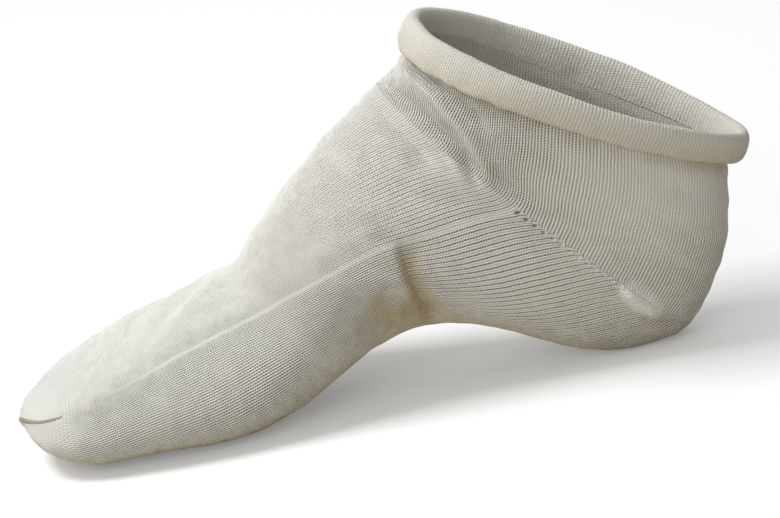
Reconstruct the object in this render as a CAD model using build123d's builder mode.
from build123d import *
import math
import os

# Low-cut knitted sock in its worn shape, hollow, with a rolled welt. Millimetres, +Z up.
# The toe points to -X, the heel to +X, the inner (medial) side of the foot to -Y.
# The tables have their own zero; ORIGIN moves the bottom centre of the bounding box to (0, 0, 0).

os.makedirs("parts", exist_ok=True)

# ---------------------------------------------------------------- dimensions
WALL = 1.3            # thickness of the plain knit
REST_Z = -46.4        # level of the face the sole rests on
ORIGIN = (-2.459, -2.734, REST_Z)   # bounding box bottom centre, in table numbers
MID_Y = -ORIGIN[1]    # centre plane of the tables, in the finished frame
POINTS = 24           # spline points round each section
FINE_POINTS = 720     # points the outline is sampled at before it is spaced evenly
NORMAL_REACH = 3      # fine points to either side that give the outline's direction

# Section planes all hold the Y direction. Each row is
# top x, top z, bottom x, bottom z, half width inner, half width outer, centre y,
# share of the height above the widest line, roundness above, roundness below,
# roll in degrees, which takes the top towards the inner side.
# In the leg, top is the front and bottom is the back.
MITRE = (6.9, 63.8, 103.2, -41.1, 30.5, 30.5, 0.0, 0.50, 2.00, 2.30, 0.0)  # bend to heel corner
LEG = [
    (22.1, 80.1, 128.0, 20.6, 37.0, 37.0, 0.0, 0.42, 2.20, 1.95, 0.0),   # rim, under the welt
    (18.6, 74.2, 124.9, 14.0, 36.8, 36.8, 0.0, 0.44, 2.20, 2.02, 0.0),
    (13.6, 68.4, 121.6, -3.5, 35.7, 35.7, 0.0, 0.48, 2.20, 2.22, 0.0),
    (9.6, 65.9, 115.6, -22.5, 33.2, 33.2, 0.0, 0.50, 2.15, 2.30, 0.0),
    MITRE,
]
FOOT = [
    MITRE,
    (-0.1, 60.1, 94.9, -45.4, 30.0, 30.0, 0.0, 0.50, 2.00, 2.30, 0.0),
    (-7.0, 55.0, 80.9, -47.0, 30.5, 30.5, 0.0, 0.48, 1.95, 2.30, 0.0),
    (-16.0, 48.5, 60.8, -43.0, 31.5, 32.0, 0.0, 0.48, 1.90, 2.30, 1.0),
    (-25.8, 40.0, 37.5, -31.2, 33.0, 34.0, 0.0, 0.48, 1.85, 2.20, 2.0),
    (-34.4, 31.4, 19.4, -24.8, 34.0, 36.0, 0.0, 0.50, 1.85, 2.10, 3.0),
    (-42.8, 22.1, 5.2, -23.4, 36.0, 38.0, 0.0, 0.50, 1.85, 2.10, 4.0),
    (-49.9, 12.9, -10.0, -27.6, 39.0, 41.0, 0.0, 0.52, 1.85, 2.10, 5.0),
    (-56.4, 4.9, -27.6, -36.1, 42.0, 43.0, 0.0, 0.54, 1.90, 2.02, 6.0),
    (-66.4, 1.1, -44.6, -44.2, 45.0, 45.0, -1.0, 0.56, 1.95, 1.98, 6.5),
    (-79.6, -3.0, -63.7, -46.9, 47.0, 45.5, -2.0, 0.57, 2.00, 2.02, 6.5),
    (-93.4, -8.0, -84.6, -45.0, 47.0, 44.5, -3.0, 0.57, 2.05, 2.10, 6.0),
    (-107.8, -13.0, -104.8, -45.0, 45.5, 41.0, -4.0, 0.56, 2.10, 2.18, 5.0),
    (-122.0, -18.2, -120.4, -43.3, 41.0, 34.0, -6.0, 0.54, 2.10, 2.30, 4.0),
    (-130.2, -21.0, -129.6, -40.5, 32.0, 23.0, -9.0, 0.52, 2.10, 2.20, 3.0),
    (-134.8, -22.6, -134.8, -37.6, 21.5, 13.5, -12.0, 0.50, 2.00, 2.00, 2.0),
    (-136.9, -23.8, -137.0, -35.6, 14.0, 8.5, -13.0, 0.50, 2.00, 2.00, 1.0),
    (-138.4, -26.4, -138.4, -32.6, 7.0, 4.0, -14.0, 0.50, 2.00, 2.00, 0.0),
]
TOE_ROWS = FOOT[-9:]

# Landmarks, x and z.
APEX = (47.2, 19.9)         # where the gore starts, on both sides
TOE_TIP = (-142.0, -29.3)   # where both side lines start, clear of the toe
LEG_BACK = (117.2, -19.1)   # last full leg round at the back
SOLE_START = (71.0, -46.0)  # first full foot round under the heel
TOE_X = -119.0              # toe rows start here on the top
TIP_Y = -14.0               # centre of the toe tip, where the two side lines meet
GORE_END = 88.0             # x where the turned heel rows end

# Lines between instep and sole, x and z, from the toe tip to the heel turn.
INNER_LINE = [
    TOE_TIP, (-138.4, -29.2), (-135.5, -27.6), (-131.0, -25.8), (-126.5, -24.9),
    (-121.6, -23.9), (-107.1, -20.2), (-91.6, -15.5), (-76.8, -10.8), (-62.7, -6.6),
    (-50.9, -2.9), (-39.3, 2.1), (-26.8, 7.0), (-14.7, 10.8), (-3.0, 14.0),
    (11.4, 15.8), (25.4, 17.4), (37.3, 18.5), APEX,
]
OUTER_LINE = [
    TOE_TIP, (-138.4, -29.4), (-135.5, -31.2), (-131.0, -32.9), (-126.5, -33.6),
    (-121.0, -33.6), (-106.1, -31.5), (-88.5, -28.7), (-71.1, -26.5), (-55.3, -21.9),
    (-42.7, -14.6), (-31.5, -5.8), (-20.8, 1.3), (-9.6, 5.5), (2.9, 7.9),
    (18.3, 9.9), (31.2, 12.6), (40.1, 16.2), APEX,
]
WALE_WIDTH = 2.6      # plain wale between instep and sole
GORE_WIDTH = 2.6      # line where the heel rows turn
GORE_RAISE = 0.5      # how far the gore stands proud
SEAM_WIDTH = 1.9      # toe seam
SEAM_RAISE = 0.9      # how far the toe seam stands proud

# Welt profiles: distance out from the leg wall, height over the rim.
# The curl runs from the leg wall up, over, down the outside and in again.
CURL = [
    (-0.65, 0.0), (-0.65, 2.1), (-0.30, 4.0), (0.55, 5.2), (1.75, 5.5), (2.8, 4.9),
    (3.5, 3.2), (3.75, 0.9), (3.7, -1.8), (3.35, -3.9), (2.65, -5.2), (1.85, -5.45),
    (1.2, -4.5), (1.0, -2.7), (1.0, -0.6), (1.25, 1.2), (1.75, 2.1),
]
CURL_WALL = 1.2       # thickness of the rolled fabric
ELASTIC = [(2.22, -3.4), (2.34, -1.8), (2.42, -0.1)]   # thread centres
ELASTIC_RADIUS = 0.45

# Reach of the cutting solids, clear of the sock.
CUT_X = 160.0
CUT_LOW_Z = -80.0
CUT_HALF_Y = 70.0
SIDE_CUT_TOP = 140.0  # in the finished frame
SIDE_CUT_DEPTH = 80.0
SIDE_CUT_FRONT = 20.0


# ---------------------------------------------------------------- sections and tubes
def section_points(row, inset):
    """Evenly spaced points of one section in its plane: first axis to the top, second +Y."""
    (top_x, top_z, bottom_x, bottom_z, half_inner, half_outer, centre_y,
     share_above, round_above, round_below, roll) = row
    height = math.hypot(top_x - bottom_x, top_z - bottom_z)
    turn = math.radians(roll)
    outline = []
    for i in range(FINE_POINTS):
        angle = 2 * math.pi * i / FINE_POINTS
        cosine, sine = math.cos(angle), math.sin(angle)
        above = cosine >= 0
        power = 2 / (round_above if above else round_below)
        half_height = (share_above if above else 1 - share_above) * height
        half_width = half_inner if sine >= 0 else half_outer
        x = half_height * math.copysign(abs(cosine) ** power, cosine)
        x += (0.5 - share_above) * height
        y = -half_width * math.copysign(abs(sine) ** power, sine)
        outline.append((x * math.cos(turn) + y * math.sin(turn),
                        centre_y - x * math.sin(turn) + y * math.cos(turn)))
    if inset:
        moved = []
        for i, (x, y) in enumerate(outline):
            x0, y0 = outline[i - NORMAL_REACH]
            x1, y1 = outline[(i + NORMAL_REACH) % FINE_POINTS]
            chord = math.hypot(x1 - x0, y1 - y0)
            moved.append((x + (y1 - y0) / chord * inset, y - (x1 - x0) / chord * inset))
        outline = moved

    outline.append(outline[0])
    lengths = [0.0]
    for start, end in zip(outline, outline[1:]):
        lengths.append(lengths[-1] + math.dist(start, end))
    points = []
    k = 0
    for j in range(POINTS):
        target = lengths[-1] * j / POINTS
        while lengths[k + 1] < target:
            k += 1
        part = (target - lengths[k]) / (lengths[k + 1] - lengths[k])
        (x0, y0), (x1, y1) = outline[k], outline[k + 1]
        points.append(Vector(x0 + (x1 - x0) * part, y0 + (y1 - y0) * part, 0))
    return points


def top_direction(row):
    """Unit x and z from the bottom point of a section to its top point."""
    dx, dz = row[0] - row[2], row[1] - row[3]
    height = math.hypot(dx, dz)
    return dx / height, dz / height


def section_plane(row):
    top_x, top_z, bottom_x, bottom_z = row[:4]
    dir_x, dir_z = top_direction(row)
    x, z = to_frame((top_x + bottom_x) / 2, (top_z + bottom_z) / 2)
    return Plane(origin=(x, MID_Y, z), x_dir=(dir_x, 0, dir_z), z_dir=(-dir_z, 0, dir_x))


def closed_spline(points):
    return Edge.make_spline(
        points, periodic=True, parameters=[i / POINTS for i in range(POINTS + 1)])


def tube(rows, inset):
    """Solid loft through the sections, each moved in by inset (out where negative)."""
    with BuildPart() as solid:
        for row in rows:
            edge = closed_spline(section_points(row, inset))
            with BuildSketch(section_plane(row)):
                with BuildLine():
                    add(edge)
                make_face()
        loft()
    return solid.part


# ---------------------------------------------------------------- cutting solids
def to_frame(x, z):
    """Table x and z in the finished frame."""
    return (x - ORIGIN[0], z - ORIGIN[2])


def prism(corners):
    """Prism along Y, right across the sock, of a polygon given by x and z."""
    with BuildPart() as solid:
        with BuildSketch(Plane.XZ.offset(ORIGIN[1] + CUT_HALF_Y)):
            with BuildLine():
                Polyline(*[to_frame(x, z) for x, z in corners], close=True)
            make_face()
        extrude(amount=-2 * CUT_HALF_Y)
    return solid.part


def above_line(line, lift, side):
    """Solid over a lifted side line, from TIP_Y outwards. side is -1 (inner) or +1 (outer)."""
    points = [to_frame(x, z + lift) for x, z in line]
    front_x = points[0][0] - SIDE_CUT_FRONT
    with BuildPart() as solid:
        with BuildSketch(Plane.XZ.offset(ORIGIN[1] - TIP_Y)):
            with BuildLine():
                Spline(*points)
                Polyline(points[-1], (points[-1][0], SIDE_CUT_TOP), (front_x, SIDE_CUT_TOP),
                         (front_x, points[0][1]), points[0])
            make_face()
        extrude(amount=-SIDE_CUT_DEPTH * side)
    return solid.part


def above_both_lines(lift):
    return above_line(INNER_LINE, lift, -1) + above_line(OUTER_LINE, lift, 1)


def ground_below(z):
    return prism([(-CUT_X, CUT_LOW_Z), (CUT_X, CUT_LOW_Z), (CUT_X, z), (-CUT_X, z)])


def gore_strip():
    """Strip centred on the mitre line, from the apex to the end of the turned rows."""
    bend_x, bend_z = MITRE[:2]
    top_x, top_z = top_direction(MITRE)
    along_x, along_z = -top_x, -top_z            # from the bend down to the heel corner
    across_x, across_z = -along_z, along_x       # from the foot towards the leg
    start = (APEX[0] - bend_x) * along_x + (APEX[1] - bend_z) * along_z
    end = (GORE_END - bend_x) / along_x
    half = GORE_WIDTH / 2
    return prism([
        (bend_x + along_x * s + across_x * n, bend_z + along_z * s + across_z * n)
        for s, n in [(start, -half), (end, -half), (end, half), (start, half)]])


gore_slab = gore_strip()
behind_sole_start = prism([
    APEX, (SOLE_START[0] + 2.0, SOLE_START[1] - 14.0), (150, -60), (150, 40)])

# The last full leg round is a line through APEX and LEG_BACK, carried on both ways.
round_dx, round_dz = LEG_BACK[0] - APEX[0], LEG_BACK[1] - APEX[1]
round_back_x = LEG_BACK[0] + round_dx
round_front_dx = 60.0
below_last_round = prism([
    APEX, (round_back_x, LEG_BACK[1] + round_dz), (round_back_x, -90), (-20, -90),
    (APEX[0] - round_front_dx, APEX[1] - round_front_dx * round_dz / round_dx)])

# The front of the toe rows leans slightly forward towards the top.
toe_box = prism([
    (-CUT_X, CUT_LOW_Z), (TOE_X + 3.0, CUT_LOW_Z), (TOE_X - 1.5, 20), (-CUT_X, 20)])

over_wales = above_both_lines(WALE_WIDTH / 2)
from_wales_up = above_both_lines(-WALE_WIDTH / 2)
over_seam = above_both_lines(SEAM_WIDTH / 2)
from_seam_up = above_both_lines(-SEAM_WIDTH / 2)


# ---------------------------------------------------------------- the knitted tube
def knit_wall(rows, inner):
    """Wall between the sections and the inner solid, flattened where the sole rests."""
    return (tube(rows, 0.0) - ground_below(REST_Z)) - (inner - ground_below(REST_Z + WALL))


leg_inner = tube(LEG, WALL)
foot_inner = tube(FOOT[:-1], WALL)   # stops short, so the toe tip is closed
leg_wall = knit_wall(LEG, leg_inner)
foot_wall = knit_wall(FOOT, foot_inner)
leg_raised = tube(LEG, -GORE_RAISE) - leg_inner
foot_raised = tube(FOOT, -GORE_RAISE) - foot_inner
toe_raised = tube(TOE_ROWS, -SEAM_RAISE) - foot_inner

# ---------------------------------------------------------------- zones of the knit
leg_rounds = (leg_wall - below_last_round) - gore_slab
heel_upper = (leg_wall & below_last_round) - gore_slab
heel_lower = (foot_wall & behind_sole_start) - gore_slab
gores = (leg_raised + foot_raised) & gore_slab

front = (foot_wall - behind_sole_start) - gore_slab
toe = front & toe_box
midfoot = front - toe_box
instep = midfoot & over_wales
wales = (midfoot & from_wales_up) - over_wales
sole = midfoot - from_wales_up
toe_upper = toe & over_seam
toe_lower = toe - from_seam_up
toe_seam = ((toe_raised & toe_box) & from_seam_up) - over_seam

# ---------------------------------------------------------------- rolled welt and its elastic
rim = LEG[0]
rim_out_x, rim_out_z = top_direction(rim)
rim_x, rim_z = to_frame(rim[0], rim[1])
# Profile plane at the front of the rim: first axis out from the leg, second up over the rim.
rim_plane = Plane(
    origin=(rim_x, MID_Y, rim_z), x_dir=(rim_out_x, 0, rim_out_z), z_dir=(0, 1, 0))
rim_wire = Wire([closed_spline(
    [section_plane(rim).from_local_coords(point) for point in section_points(rim, 0.0)])])


def curl_sides(points, thickness):
    """The two faces of the fabric, half its thickness to either side of the points."""
    first, second = [], []
    for i, (x, y) in enumerate(points):
        x0, y0 = points[max(0, i - 1)]
        x1, y1 = points[min(len(points) - 1, i + 1)]
        chord = math.hypot(x1 - x0, y1 - y0)
        shift_x = (y1 - y0) / chord * thickness / 2
        shift_y = -(x1 - x0) / chord * thickness / 2
        first.append((x - shift_x, y - shift_y))
        second.append((x + shift_x, y + shift_y))
    return first, second


def build_welt():
    first, second = curl_sides(CURL, CURL_WALL)
    with BuildPart() as welt:
        with BuildSketch(rim_plane):
            with BuildLine():
                Spline(*first)
                Line(first[-1], second[-1])
                Spline(*second[::-1])
                Line(second[0], first[0])
            make_face()
        sweep(path=rim_wire)
    return welt.part


def build_thread(centre):
    with BuildPart() as thread:
        with BuildSketch(rim_plane):
            with Locations(centre):
                Circle(ELASTIC_RADIUS)
        sweep(path=rim_wire)
    return thread.part


# ---------------------------------------------------------------- export
def largest(solids):
    return max(solids, key=lambda solid: solid.volume)


def inner_side(shape):
    return largest([solid for solid in shape.solids() if solid.center().Y < MID_Y])


def outer_side(shape):
    return largest([solid for solid in shape.solids() if solid.center().Y >= MID_Y])


nodes = {
    "rolled_welt": build_welt(),
    "welt_elastic": Compound(
        children=[solid for centre in ELASTIC for solid in build_thread(centre).solids()]),
    "leg_rounds": leg_rounds,
    "heel_pocket_upper": heel_upper,
    "heel_pocket_lower": heel_lower,
    "heel_gore_inner": inner_side(gores),
    "heel_gore_outer": outer_side(gores),
    "instep": largest(instep.solids()),
    "sole": largest(sole.solids()),
    "side_wale_inner": inner_side(wales),
    "side_wale_outer": outer_side(wales),
    "toe_upper": toe_upper,
    "toe_lower": toe_lower,
    "toe_seam": toe_seam,
}
for name, shape in nodes.items():
    shape.label = name
    export_step(shape, f"parts/{name}.step")
